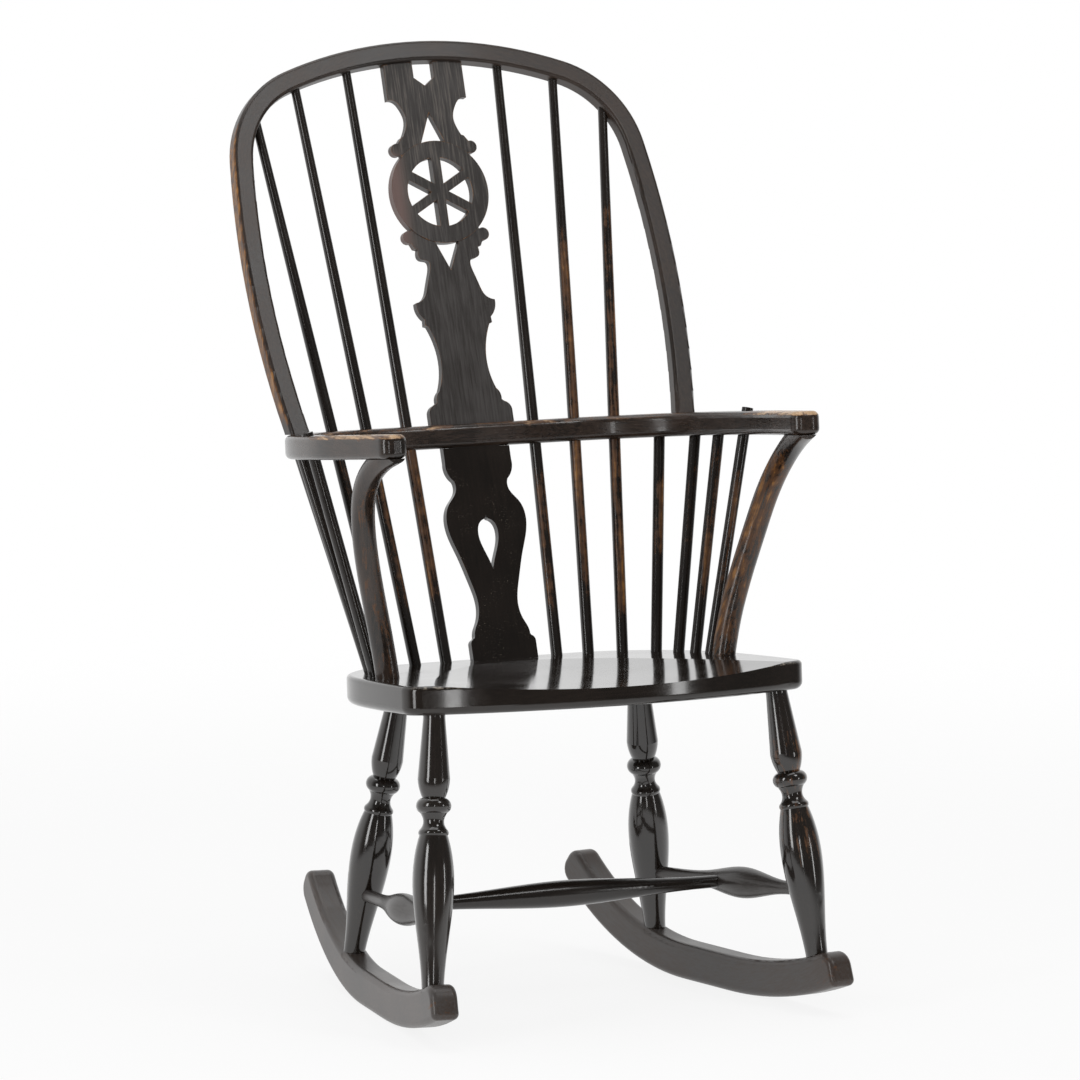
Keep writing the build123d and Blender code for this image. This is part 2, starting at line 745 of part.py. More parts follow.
def arm_bow():
    body = arm_bow_blank()
    for side in sides:
        body -= hoop_tenon(side, fit)
        body -= handed(support_tenons(support_line, fit)[1], side)
        for index in range(len(long_spindle_feet)):
            body -= long_spindle(index, side, fit)
        for index in range(len(short_spindle_feet)):
            body -= short_spindle(index, side, fit)
    return body - lower_splat_tenons(fit)[1] - upper_splat_tenons(fit)[0]


# ---- hoop -------------------------------------------------------------------------------------
def hoop_half_blank(grow=0.0):
    """The left half of the bent hoop before its sockets, or the same made larger by a clearance."""
    section = Plane(origin=hoop_line @ 0, x_dir=hoop_plane.z_dir, z_dir=hoop_line % 0).location \
        * RectangleRounded(hoop_thickness + 2 * grow, hoop_width + 2 * grow, hoop_round)
    return sweep(section, hoop_line)


def back_hoop():
    """The hoop: a half scribed to the arm bow, with its tenon, and its mirror image."""
    half = hoop_half_blank() - half_space(flipped(arm_plane).offset(-fit))
    half += hoop_tenon(1)
    for index in range(len(long_spindle_feet)):
        half -= long_spindle(index, 1, fit)
    return half + mirror(half, Plane.YZ) - upper_splat_tenons(fit)[1]


# ---- splats -----------------------------------------------------------------------------------
def half_outline(start, *steps):
    """Right half of a splat: each step is a line, an arc or a spline, by how many points it has."""
    edges = []
    for points in steps:
        if len(points) == 1:
            edges.append(Line(start, *points).edge())
        elif len(points) == 2:
            edges.append(ThreePointArc(start, *points).edge())
        else:
            edges.append(Spline(start, *points).edge())
        start = points[-1]
    low, high = edges[0] @ 0, edges[-1] @ 1
    middle = Polyline(high, (0, high.Y), (0, low.Y), low)
    half = Face(Wire(edges + list(middle.edges())))
    return half + mirror(half, Plane.YZ)


def splat_board(outline, thickness=splat_thickness):
    """A flat outline made into a board in the splat's plane."""
    return splat_plane.location * extrude(outline, thickness / 2, both=True)


def splat_tenon(left, right, low, high, grow=0.0):
    """A tenon between two places across the splat and two heights up it, or its mortise."""
    block = Box(right - left + 2 * grow, high - low, splat_thickness + 2 * grow)
    return splat_plane.location * (Pos((left + right) / 2, (low + high) / 2, 0) * block)


def plane_height(plane):
    """Distance up the splat at which a plane crosses it."""
    point = meet(plane, splat_origin, splat_plane.from_local_coords(Vector(0, 1, 0)))
    return splat_plane.to_local_coords(point).Y


arm_top_rise = plane_height(arm_plane)
arm_under_rise = plane_height(arm_under)
hoop_top_rise = up_the_splat(hoop_top_height)
wheel_rise = hoop_top_rise - wheel_drop
waist_stretch = (wheel_rise - arm_top_rise) / waist_run


def lower_splat_tenons(grow=0.0):
    """Its tenons in the seat and in the arm bow, or their mortises."""
    depth = splat_tenon_depth + (socket_relief if grow else 0)
    foot = lower_splat_foot - splat_tenon_inset
    head = lower_splat_head - splat_tenon_inset
    return (splat_tenon(-foot, foot, -depth, splat_tenon_depth, grow),
            splat_tenon(-head, head, arm_under_rise - splat_tenon_depth,
                        arm_under_rise + depth, grow))


def upper_splat_tenons(grow=0.0):
    """Its tenons in the arm bow and, one at each side of the notch, in the hoop."""
    relief = socket_relief if grow else 0
    depth = splat_tenon_depth + relief
    foot = upper_splat_foot - splat_tenon_inset
    inner = notch_half_width + splat_tenon_inset / 2
    outer = upper_splat_block - splat_tenon_inset / 2
    low = hoop_top_rise - hoop_width
    prongs = (splat_tenon(inner, outer, low, hoop_top_rise - hoop_tenon_short + relief, grow)
              + splat_tenon(-outer, -inner, low, hoop_top_rise - hoop_tenon_short + relief, grow))
    return (splat_tenon(-foot, foot, arm_top_rise - depth, arm_top_rise + splat_tenon_depth,
                        grow), prongs)


def upper_splat_outline():
    """Foot, ogee, waist, lug, second waist, beads beside the wheel, neck and top block."""

    def up(height):
        """A height above the arm bow, which grows with the room below the wheel."""
        return arm_top_rise + height * waist_stretch

    arm, wheel, top = arm_top_rise, wheel_rise, hoop_top_rise - hoop_width / 4
    foot, ogee, waist = upper_splat_foot, upper_splat_ogee, upper_splat_waist
    lug, neck, block = upper_splat_lug, upper_splat_neck, upper_splat_block
    return half_outline(
        (foot, arm - splat_tenon_depth),
        [(foot, up(11))],
        [(foot - 2.5, up(17.5)), (ogee + 3, up(21))],
        [(ogee, up(23))],
        [(ogee - 0.5, up(29)), (ogee - 5, up(35))],
        [(waist + 2.5, up(47)), (waist, up(66)), (waist + 5, up(92)),
         (ogee - 2, up(103))],
        [(ogee + 1.5, up(104))],
        [(ogee + 1, up(110))],
        [(lug - 2, up(117)), (lug, up(128))],
        [(lug - 10, up(132)), (waist + 2, up(150)), (waist, up(172)),
         (waist + 4, wheel - 80), (ogee - 3, wheel - 67)],
        [(ogee + 1, wheel - 66)],
        [(ogee + 5, wheel - 58)],
        [(wheel_radius * 0.5, wheel)],
        [(ogee + 5, wheel + 58)],
        [(ogee - 1, wheel + 66)],
        [(ogee - 4, wheel + 67)],
        [(neck + 3, wheel + 75), (neck, wheel + 88), (neck + 4, wheel + 101),
         (block - 10, wheel + 109), (block, wheel + 111)],
        [(block, top)])


def wheel_face(radius):
    return Pos(0, wheel_rise) * Circle(radius)


def wheel_openings():
    """The six gaps between the spokes of the wheel."""
    gaps = wheel_face(wheel_radius - wheel_rim) - wheel_face(wheel_hub_radius)
    for turn in range(wheel_spokes // 2):
        gaps -= Pos(0, wheel_rise) * Rot(0, 0, turn * 360 / wheel_spokes) * Rectangle(
            wheel_spoke, 2 * wheel_radius)
    return gaps


def upper_splat():
    """The pierced splat with its wheel, scribed to the arm bow and the hoop."""
    wheel, top = wheel_rise, hoop_top_rise
    outline = upper_splat_outline()
    for height in (wheel - bead_rise, wheel + bead_rise):
        for side in sides:
            outline += Pos(side * splat_bead_half_width, height) * Circle(splat_bead_radius)
    rim = wheel_face(wheel_radius)
    notch_foot = wheel + notch_rise
    notch_side = notch_foot + notch_depth
    outline -= make_face(Polyline((-notch_half_width, top), (-notch_half_width, notch_side),
                                  (0, notch_foot), (notch_half_width, notch_side),
                                  (notch_half_width, top), close=True))
    inside_rim = wheel_radius - gusset_overlap
    for base, point in ((inside_rim, upper_gusset_rise), (-inside_rim, -lower_gusset_rise)):
        outline -= make_face(Polyline((-gusset_half_width, wheel + base), (0, wheel + point),
                                      (gusset_half_width, wheel + base), close=True)) - rim
    body = splat_board(outline) - half_space(flipped(arm_plane).offset(-fit))
    half_hoop = hoop_half_blank(fit)
    body -= half_hoop + mirror(half_hoop, Plane.YZ)
    body += splat_board(rim, splat_thickness + 2 * wheel_relief)
    body -= splat_board(wheel_openings(), 2 * splat_thickness)
    foot, prongs = upper_splat_tenons()
    return body + foot + prongs


def lower_splat_outline():
    """Foot, ogee, waist, pear-shaped belly, neck and head."""
    arm = arm_under_rise
    foot, waist, belly = lower_splat_foot, lower_splat_waist, lower_splat_belly
    neck, head = lower_splat_neck, lower_splat_head
    return half_outline(
        (foot, -splat_tenon_depth),
        [(foot, 19)],
        [(foot - 1.5, 23.5), (foot - 5, 26)],
        [(foot - 6, 28)],
        [(foot - 8, 37), (waist + 4, 45), (waist, 64), (waist + 6, 94), (belly - 10, 124),
         (belly, 158), (belly - 5, 183), (neck + 1, arm - 53), (neck, arm - 43)],
        [(neck + 1, arm - 40)],
        [(head - 2, arm - 32), (head, arm - 18)],
        [(head, arm + splat_tenon_depth)])


def teardrop():
    """The pear-shaped opening, with a small spike at its top."""
    top = teardrop_top
    right = Spline((spike_half_width, top - 3), (teardrop_half_width - 3, top - 8),
                   (teardrop_half_width, top - 19), (teardrop_half_width - 4, top - 38),
                   (0, teardrop_bottom))
    spike = Line((0, top + 2), (spike_half_width, top - 3))
    axis = Line((0, teardrop_bottom), (0, top + 2))
    half = Face(Wire([spike.edge(), right.edge(), axis.edge()]))
    return half + mirror(half, Plane.YZ)


def lower_splat():
    """The splat below the arm bow, scribed to the bow and the seat."""
    body = splat_board(lower_splat_outline() - teardrop())
    body -= half_space(arm_under.offset(-fit))
    body -= half_space(flipped(seat_plane).offset(-fit))
    foot, head = lower_splat_tenons()
    return body + foot + head


# ---- the chair --------------------------------------------------------------------------------
def chair():
    """Every piece by its name."""
    pieces = {"seat": seat(), "arm_bow": arm_bow(), "back_hoop": back_hoop(),
              "upper_splat": upper_splat(), "lower_splat": lower_splat(),
              "cross_stretcher": cross_stretcher()}
    for side in sides:
        end_name = "_" + side_name(side)
        pieces["rocker" + end_name] = rocker(side)
        pieces["leg_front" + end_name] = leg("front", side)
        pieces["leg_rear" + end_name] = leg("rear", side)
        pieces["side_stretcher" + end_name] = side_stretcher(side)
        pieces["arm_support" + end_name] = arm_support(side)
        for index in range(len(long_spindle_feet)):
            pieces[f"long_spindle_{index + 1}" + end_name] = long_spindle(index, side)
        for index in range(len(short_spindle_feet)):
            pieces[f"short_spindle_{index + 1}" + end_name] = short_spindle(index, side)
    return pieces


def centred(pieces):
    """Moves every piece so that the origin lies under the middle of the chair."""
    boxes = [piece.bounding_box() for piece in pieces.values()]
    middle = (min(box.min.Y for box in boxes) + max(box.max.Y for box in boxes)) / 2
    return {name: Pos(0, -middle, 0) * piece for name, piece in pieces.items()}


os.makedirs("parts", exist_ok=True)
for name, piece in centred(chair()).items():
    export_step(piece, f"parts/{name}.step")
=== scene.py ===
import json
from math import radians

import bpy
import numpy as np
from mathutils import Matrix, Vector


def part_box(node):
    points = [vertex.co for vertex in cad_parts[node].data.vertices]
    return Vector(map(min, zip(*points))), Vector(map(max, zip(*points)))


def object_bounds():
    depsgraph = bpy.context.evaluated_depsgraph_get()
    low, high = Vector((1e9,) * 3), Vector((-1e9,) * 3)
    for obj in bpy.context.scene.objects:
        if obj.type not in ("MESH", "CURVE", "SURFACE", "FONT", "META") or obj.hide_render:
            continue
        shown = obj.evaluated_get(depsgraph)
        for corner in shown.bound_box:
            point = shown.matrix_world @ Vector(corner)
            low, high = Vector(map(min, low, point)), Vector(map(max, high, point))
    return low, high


# A hoop back rocking chair in worn dark varnish, in a white studio. Metres, +Z up, -Y is the front.
# Right of the picture is +X, the sitter's left.

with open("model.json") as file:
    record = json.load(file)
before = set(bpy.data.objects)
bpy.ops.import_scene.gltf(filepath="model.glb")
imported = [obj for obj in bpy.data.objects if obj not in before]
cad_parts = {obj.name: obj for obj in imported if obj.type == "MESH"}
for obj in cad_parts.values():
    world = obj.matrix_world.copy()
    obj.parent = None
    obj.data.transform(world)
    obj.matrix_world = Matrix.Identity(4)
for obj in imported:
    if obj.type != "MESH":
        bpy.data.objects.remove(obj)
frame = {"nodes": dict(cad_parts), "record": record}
cad_low, cad_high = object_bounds()

FRONT = cad_low.y
HOOP_LOW, HOOP_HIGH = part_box("back_hoop")
ARM_LOW, ARM_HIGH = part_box("arm_bow")
SPLAT_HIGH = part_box("upper_splat")[1]


# ---- colours ----------------------------------------------------------------------------------
def srgb(red, green, blue):
    """A colour given as 0-255 screen values, as Blender's linear RGBA."""
    def linear(value):
        share = value / 255
        return share / 12.92 if share <= 0.04045 else ((share + 0.055) / 1.055) ** 2.4
    return linear(red), linear(green), linear(blue), 1.0


BLACK = srgb(22, 17, 13)
EBONY = srgb(33, 26, 21)
UMBER = srgb(58, 45, 37)
SLATE = srgb(66, 62, 60)
SHEEN_GREY = srgb(96, 88, 80)
# grey of the painted sheen on the upper splat
ROSE_GREY = srgb(118, 92, 86)
RUSSET = srgb(84, 52, 24)
AMBER = srgb(150, 102, 46)
TAN = srgb(190, 156, 118)
# pale dust specks, and the painted highlight on the seat's front arris
DUST_AND_HIGHLIGHT = srgb(150, 140, 126)


# ---- node trees -------------------------------------------------------------------------------
class Finish:
    """One procedural material, built node by node."""

    def __init__(self, name):
        self.material = bpy.data.materials.new(name)
        self.material.use_nodes = True
        self.tree = self.material.node_tree
        self.tree.nodes.clear()
        place = self.tree.nodes.new("ShaderNodeTexCoord")
        self.position = place.outputs["Object"]
        self.x, self.y, self.z = self.split(self.position)
        self.facing = self.split(place.outputs["Normal"])

    def put(self, socket, value):
        if isinstance(value, bpy.types.NodeSocket):
            self.tree.links.new(value, socket)
        else:
            socket.default_value = value

    def split(self, vector):
        node = self.tree.nodes.new("ShaderNodeSeparateXYZ")
        self.put(node.inputs[0], vector)
        return node.outputs[0], node.outputs[1], node.outputs[2]

    def join(self, *values):
        node = self.tree.nodes.new("ShaderNodeCombineXYZ")
        for socket, value in zip(node.inputs, values):
            self.put(socket, value)
        return node.outputs[0]

    def math(self, operation, *values):
        node = self.tree.nodes.new("ShaderNodeMath")
        node.operation = operation
        for socket, value in zip(node.inputs, values):
            self.put(socket, value)
        return node.outputs[0]

    def add(self, *values):
        total = values[0]
        for value in values[1:]:
            total = self.math("ADD", total, value)
        return total

    def times(self, *values):
        total = values[0]
        for value in values[1:]:
            total = self.math("MULTIPLY", total, value)
        return total

    def most(self, *values):
        total = values[0]
        for value in values[1:]:
            total = self.math("MAXIMUM", total, value)
        return total

    def step(self, value, low, high):
        """0 up to low and 1 from high on, smooth between; falling where low is above high."""
        node = self.tree.nodes.new("ShaderNodeMapRange")
        node.interpolation_type = "SMOOTHSTEP"
        for socket, setting in zip(node.inputs, (value, low, high)):
            self.put(socket, setting)
        return node.outputs[0]

    def band(self, value, low, high, soft):
        """1 between two values, fading over a soft distance outside them."""
        return self.times(self.step(value, low - soft, low), self.step(value, high + soft, high))

    def blend(self, share, first, second):
        """A colour between two, or a number between two."""
        node = self.tree.nodes.new("ShaderNodeMix")
        colours = isinstance(second, tuple) or getattr(second, "type", "") == "RGBA"
        node.data_type = "RGBA" if colours else "FLOAT"
        first_in, second_in, out = (6, 7, 2) if colours else (2, 3, 0)
        self.put(node.inputs[0], share)
        self.put(node.inputs[first_in], first)
        self.put(node.inputs[second_in], second)
        return node.outputs[out]

    def noise(self, vector, scale, detail=4.0, roughness=0.55):
        node = self.tree.nodes.new("ShaderNodeTexNoise")
        self.put(node.inputs["Vector"], vector)
        node.inputs["Scale"].default_value = scale
        node.inputs["Detail"].default_value = detail
        node.inputs["Roughness"].default_value = roughness
        return node.outputs[0]

    def edges(self, radius):
        """1 on the sharp edges of the piece and 0 on its faces."""
        rounded = self.tree.nodes.new("ShaderNodeBevel")
        rounded.samples = EDGE_SAMPLES
        rounded.inputs["Radius"].default_value = radius
        true = self.tree.nodes.new("ShaderNodeNewGeometry")
        turn = self.tree.nodes.new("ShaderNodeVectorMath")
        turn.operation = "DOT_PRODUCT"
        self.put(turn.inputs[0], rounded.outputs[0])
        self.put(turn.inputs[1], true.outputs["Normal"])
        return self.step(turn.outputs["Value"], EDGE_NONE, EDGE_FULL)

    def surface(self, colour, roughness, height, depth, coat):
        """The shader: varnish over the colour, with the height as relief."""
        relief = self.tree.nodes.new("ShaderNodeBump")
        relief.inputs["Strength"].default_value = 1.0
        relief.inputs["Distance"].default_value = depth
        self.put(relief.inputs["Height"], height)
        shader = self.tree.nodes.new("ShaderNodeBsdfPrincipled")
        self.put(shader.inputs["Base Color"], colour)
        self.put(shader.inputs["Roughness"], roughness)
        self.put(shader.inputs["Normal"], relief.outputs[0])
        shader.inputs["Coat Weight"].default_value = coat
        shader.inputs["Coat Roughness"].default_value = COAT_ROUGHNESS
        output = self.tree.nodes.new("ShaderNodeOutputMaterial")
        self.tree.links.new(shader.outputs[0], output.inputs[0])
        return self.material


COAT_ROUGHNESS = 0.06
EDGE_SAMPLES = 6
EDGE_NONE = 0.99                 # cosine between the true and the rounded normal where no edge shows
EDGE_FULL = 0.86                 # and where the edge shows fully
GRAIN_STRETCH = 0.05             # a streak of the grain is about twenty times as long as it is wide
GRAIN_SCALE = 420.0
FIBRE_SCALE = 150.0              # the wider streaks that wear follows
CLOUD_SCALE = 13.0
PATCH_SCALE = 85.0
SPECK_SCALE = 900.0
SPECK_GATHER_SCALE = 32.0        # of the groups that specks gather in
ARRIS_SCALE = 120.0
TONE_LOW, TONE_HIGH = 0.36, 0.64
PATCH_SHARE, FIBRE_SHARE, STREAK_SHARE = 0.6, 1.5, 0.4    # of the noises that break up the wear
BREAK_UP_MEAN = 1.25             # half of the three shares' sum: each noise is about a half on average
WORN_START, BARE_START, BARE_FULL = 0.42, 0.62, 0.9


# ---- grain ------------------------------------------------------------------------------------
def grain_along(run):
    """Grain that runs straight, one way."""
    side = run.orthogonal().normalized()
    across = run.cross(side)

    def build(finish):
        parts = []
        for direction, stretch in ((run, GRAIN_STRETCH), (side, 1.0), (across, 1.0)):
            parts.append(finish.add(*(finish.times(value, share * stretch) for value, share
                                      in zip((finish.x, finish.y, finish.z), direction))))
        return finish.join(*parts)
    return build


def grain_round(finish, sideways, onward, bend_start, bend_radius, depth):
    """Grain that follows a U: straight up to bend_start, then round."""
    past = finish.math("MAXIMUM", finish.math("SUBTRACT", onward, bend_start), 0.0)
    before = finish.math("MAXIMUM", finish.math("SUBTRACT", bend_start, onward), 0.0)
    angle = finish.math("ARCTAN2", sideways, past)
    along = finish.add(finish.times(angle, bend_radius),
                       finish.times(before, finish.math("SIGN", sideways)))
    across = finish.math("SQRT", finish.add(finish.times(sideways, sideways), finish.times(past, past)))
    return finish.join(finish.times(along, GRAIN_STRETCH), across, depth)


def hoop_grain(finish):
    radius = HOOP_HIGH.x
    return grain_round(finish, finish.x, finish.z, HOOP_HIGH.z - radius, radius, finish.y)


def arm_grain(finish):
    radius = ARM_HIGH.x
    return grain_round(finish, finish.x, finish.y, ARM_HIGH.y - radius, radius, finish.z)


def rocker_grain(finish):
    """Grain round the centre that the rocker rolls about."""
    ahead = finish.math("SUBTRACT", finish.y, ROCKER_MIDDLE_Y)
    below = finish.math("SUBTRACT", ROCKER_RADIUS, finish.z)
    angle = finish.math("ARCTAN2", ahead, below)
    across = finish.math("SQRT", finish.add(finish.times(ahead, ahead), finish.times(below, below)))
    return finish.join(finish.times(angle, ROCKER_RADIUS * GRAIN_STRETCH), across, finish.x)


# ---- varnish ----------------------------------------------------------------------------------
def varnished(name, grain, deep, pale, rubbed=None, thin=RUSSET, bare=AMBER, gloss=0.22, dull=0.42,
              coat=0.25, edge=0.0, edge_radius=0.003, specks=0.0, relief=0.00004, contrast=0.5,
              accent=None):
    """Dark varnish on wood, rubbed through to the stained and then the bare wood where it is worn."""
    finish = Finish(name)
    streak = finish.noise(grain(finish), GRAIN_SCALE, 5.0, 0.62)
    fibre = finish.noise(grain(finish), FIBRE_SCALE, 6.0, 0.7)
    cloud = finish.noise(finish.position, CLOUD_SCALE, 3.0)
    patch = finish.noise(finish.position, PATCH_SCALE, 5.0, 0.65)
    tone = finish.add(finish.times(streak, contrast), finish.times(cloud, 1 - contrast))
    colour = finish.blend(finish.step(tone, TONE_LOW, TONE_HIGH), deep, pale)
    # an accent laid over the tone: the painted highlight on the seat's arris and the painted sheen on the
    # upper splat
    if accent:
        finish.streak = streak
        share, accent_colour = accent(finish)
        colour = finish.blend(share, colour, accent_colour)

    wear = rubbed(finish) if rubbed else 0.0
    if edge:
        wear = finish.most(wear, finish.times(finish.edges(edge_radius), edge))
    broken = finish.add(finish.times(patch, PATCH_SHARE), finish.times(fibre, FIBRE_SHARE),
                        finish.times(streak, STREAK_SHARE))
    ragged = finish.add(wear, broken, -BREAK_UP_MEAN)
    worn = finish.step(ragged, WORN_START, BARE_START)
    through = finish.step(ragged, BARE_START, BARE_FULL)
    colour = finish.blend(worn, colour, thin)
    colour = finish.blend(through, colour, bare)
    if specks:
        fleck = finish.noise(finish.position, SPECK_SCALE, 2.0)
        gathered = finish.step(finish.noise(finish.position, SPECK_GATHER_SCALE, 3.0), 0.5, 0.62)
        share = finish.times(finish.step(fleck, 0.66, 0.74), gathered, specks)
        colour = finish.blend(share, colour, DUST_AND_HIGHLIGHT)

    rough = finish.add(finish.blend(worn, gloss, dull), finish.times(finish.add(cloud, -0.5), 0.16),
                       finish.times(finish.add(streak, -0.5), 0.14))
    height = finish.add(finish.times(streak, 0.45), finish.times(patch, 0.55))
    return finish.surface(colour, rough, height, relief, coat)


# ---- where each piece is worn -----------------------------------------------------------------
def hoop_wear(finish):
    """The outer face on the chair's right, and a little of the outer face on its left."""
    outward = finish.step(finish.facing[0], -0.35, -0.8)
    height = finish.band(finish.z, HOOP_LOW.z + 0.05, HOOP_HIGH.z - 0.11, 0.05)
    right = finish.step(finish.x, -0.17, -0.22)
    left_side = finish.times(finish.step(finish.x, 0.17, 0.24), finish.step(finish.facing[0], 0.5, 0.9))
    return finish.most(finish.times(outward, right, height, 0.72), finish.times(left_side, 0.3))


def arm_wear(finish):
    """Rubbed tops of both arms and of the back, most on the rounding and near the front ends."""
    top = finish.step(finish.facing[2], 0.1, 0.6)
    arms = finish.step(finish.y, ARM_LOW.y + 0.26, ARM_LOW.y + 0.1)
    left_arm = finish.times(finish.step(finish.x, 0.14, 0.2), arms, top, 0.8)
    right_arm = finish.times(finish.step(finish.x, -0.14, -0.2), arms, top, 0.8)
    near_end = finish.band(finish.y, ARM_LOW.y + 0.018, ARM_LOW.y + 0.055, 0.015)
    ends = finish.times(near_end, finish.step(finish.facing[2], -0.2, 0.5), 0.6)
    rear = finish.times(finish.step(finish.y, 0.05, 0.09), top, 0.5)
    return finish.most(left_arm, right_arm, ends, rear)


def support_wear(side):
    """The inner and front faces of a crook, rubbed by hands and legs."""
    def build(finish):
        inward = finish.step(finish.times(finish.facing[0], -side), 0.1, 0.8)
        ahead = finish.step(finish.facing[1], -0.1, -0.75)
        height = finish.band(finish.z, 0.41, 0.6, 0.07)
        amount = 0.66 if side > 0 else 0.5
        return finish.times(finish.most(inward, finish.times(ahead, 0.8)), height, amount)
    return build


def spindle_wear(low, high, amount):
    """A rubbed length on the front of a spindle."""
    def build(finish):
        ahead = finish.step(finish.facing[1], 0.1, -0.7)
        return finish.times(ahead, finish.band(finish.z, low, high, 0.06), amount)
    return build


def leg_wear(amount):
    """The bead and the shaft below it."""
    def build(finish):
        return finish.times(finish.band(finish.z, 0.19, 0.3, 0.05), amount)
    return build


def rocker_wear(finish):
    """The front tips."""
    return finish.times(finish.step(finish.y, FRONT + 0.06, FRONT + 0.012), 0.3)


def seat_arris_highlight(finish):
    """A painted highlight, broken into dots, along the rounding of the front edge."""
    rounding = finish.band(finish.facing[2], 0.45, 0.86, 0.08)
    ahead = finish.step(finish.facing[1], -0.2, -0.45)
    broken = finish.step(finish.noise(finish.position, ARRIS_SCALE, 4.0, 0.7), 0.44, 0.6)
    return finish.times(rounding, ahead, broken, 0.75), DUST_AND_HIGHLIGHT


def splat_sheen_and_tint(finish):
    """Painted sheen as grey streaks near the top, and a reddish tint on one side of the wheel."""
    high = finish.step(finish.z, SPLAT_HIGH.z - 0.26, SPLAT_HIGH.z - 0.08)
    # painted sheen: pale grey streaks along the grain near the top of the splat
    lit = finish.times(high, finish.step(finish.streak, 0.5, 0.66), 0.7)
    rim = finish.times(finish.step(finish.x, -0.03, -0.055),
                       finish.band(finish.z, SPLAT_HIGH.z - 0.22, SPLAT_HIGH.z - 0.12, 0.02))
    return finish.most(lit, finish.times(rim, 0.7)), finish.blend(rim, SHEEN_GREY, ROSE_GREY)


# ---- materials --------------------------------------------------------------------------------
ROCKER_RADIUS = 0.5              # of the rings that the rockers' grain follows
ROCKER_MIDDLE_Y = frame["record"]["mounts"][0]["pos_m"][1]


def long_axis(node):
    """The direction that a piece is longest in, from the spread of its corners."""
    corners = np.array([corner.co for corner in frame["nodes"][node].data.vertices])
    spread = np.linalg.eigh(np.cov(corners.T))[1]
    return Vector(spread[:, -1])


# How each spindle is rubbed, from the middle of the back outwards: low and high end and how much.
LONG_RUBS = {"left": ((0.45, 0.56, 0.5), (0.46, 0.82, 0.6), (0.44, 0.86, 0.6)),
             "right": ((0.47, 0.62, 0.6), (0.46, 0.6, 0.5), (0.5, 0.6, 0.4))}
SHORT_RUBS = {"left": ((0.5, 0.56, 0.5), (0.5, 0.58, 0.4), (0.46, 0.6, 0.55), (0.45, 0.56, 0.5)),
              "right": ((0.5, 0.56, 0.3), (0.5, 0.56, 0.3), (0.5, 0.56, 0.25), (0.5, 0.56, 0.25))}


def make_material(node):
    """The finish of one CAD node."""
    words = node.split("_")
    side = "left" if words[-1] == "left" else "right"
    sign = 1 if side == "left" else -1
    straight = grain_along(long_axis(node))
    if node == "seat":
        # the accent on the seat is a painted highlight along the front arris
        return varnished(node, straight, BLACK, EBONY, gloss=0.12, coat=0.3, accent=seat_arris_highlight,
                         relief=0.000012)
    if node == "arm_bow":
        return varnished(node, arm_grain, BLACK, UMBER, arm_wear, bare=TAN, gloss=0.24)
    if node == "back_hoop":
        return varnished(node, hoop_grain, EBONY, UMBER, hoop_wear, gloss=0.38, coat=0.1,
                         edge=0.35, relief=0.00012)
    if node == "upper_splat":
        # the accent on the upper splat is painted sheen near the top, with a tint on one side of the wheel
        return varnished(node, straight, EBONY, SLATE, gloss=0.4, coat=0.08, edge=0.62,
                         edge_radius=0.002, relief=0.00014, contrast=0.65, accent=splat_sheen_and_tint)
    if node == "lower_splat":
        return varnished(node, straight, BLACK, EBONY, gloss=0.11, edge=0.4, edge_radius=0.002,
                         specks=0.8)
    if node == "cross_stretcher":
        return varnished(node, straight, BLACK, EBONY, gloss=0.2, specks=0.2)
    if node.startswith("side_stretcher"):
        return varnished(node, straight, EBONY, SLATE, gloss=0.34, coat=0.1)
    if node.startswith("rocker"):
        return varnished(node, rocker_grain, UMBER, SLATE, rocker_wear, gloss=0.36, coat=0.12,
                         edge=0.3, specks=0.25, relief=0.00014)
    if node.startswith("arm_support"):
        return varnished(node, straight, BLACK, UMBER, support_wear(sign), gloss=0.24)
    if node.startswith("leg"):
        rubbed = leg_wear(0.4 if node == "leg_front_left" else 0.12)
        return varnished(node, straight, BLACK, EBONY, rubbed, gloss=0.16, coat=0.8, specks=0.3)
    rubs = LONG_RUBS if node.startswith("long") else SHORT_RUBS
    return varnished(node, straight, BLACK, EBONY, spindle_wear(*rubs[side][int(words[2]) - 1]),
                     gloss=0.22)


for node, piece in frame["nodes"].items():
    varnish = make_material(node)
    for material_slot in piece.material_slots:
        material_slot.material = varnish


# ---- studio -----------------------------------------------------------------------------------
scene = bpy.context.scene
FLOOR_REACH = 12.0
FLOOR_CLEAR = 1.1                # the floor is whole up to here, and fades out to FLOOR_GONE
FLOOR_GONE = 2.8
FLOOR_GLOW = 0.86                # share of the floor's white that no shadow darkens
FLOOR_WHITE = (0.92, 0.92, 0.92, 1.0)
AMBIENT = 0.5                    # the room's light on the chair
FRONT_GLOSS = 0.12               # what polish reflects of the room in front of the chair
DIM_UP_TO, WHITE_FROM = -0.15, 0.45    # how far a reflection points backwards, as Y of its direction


def seen_or_mirrored(tree):
    """1 for what the camera sees, also in a polished or clear surface."""
    path = tree.nodes.new("ShaderNodeLightPath")
    total = path.outputs["Is Camera Ray"]
    for name in ("Is Glossy Ray", "Is Transmission Ray"):
        most = tree.nodes.new("ShaderNodeMath")
        most.operation = "MAXIMUM"
        tree.links.new(total, most.inputs[0])
        tree.links.new(path.outputs[name], most.inputs[1])
        total = most.outputs[0]
    return total


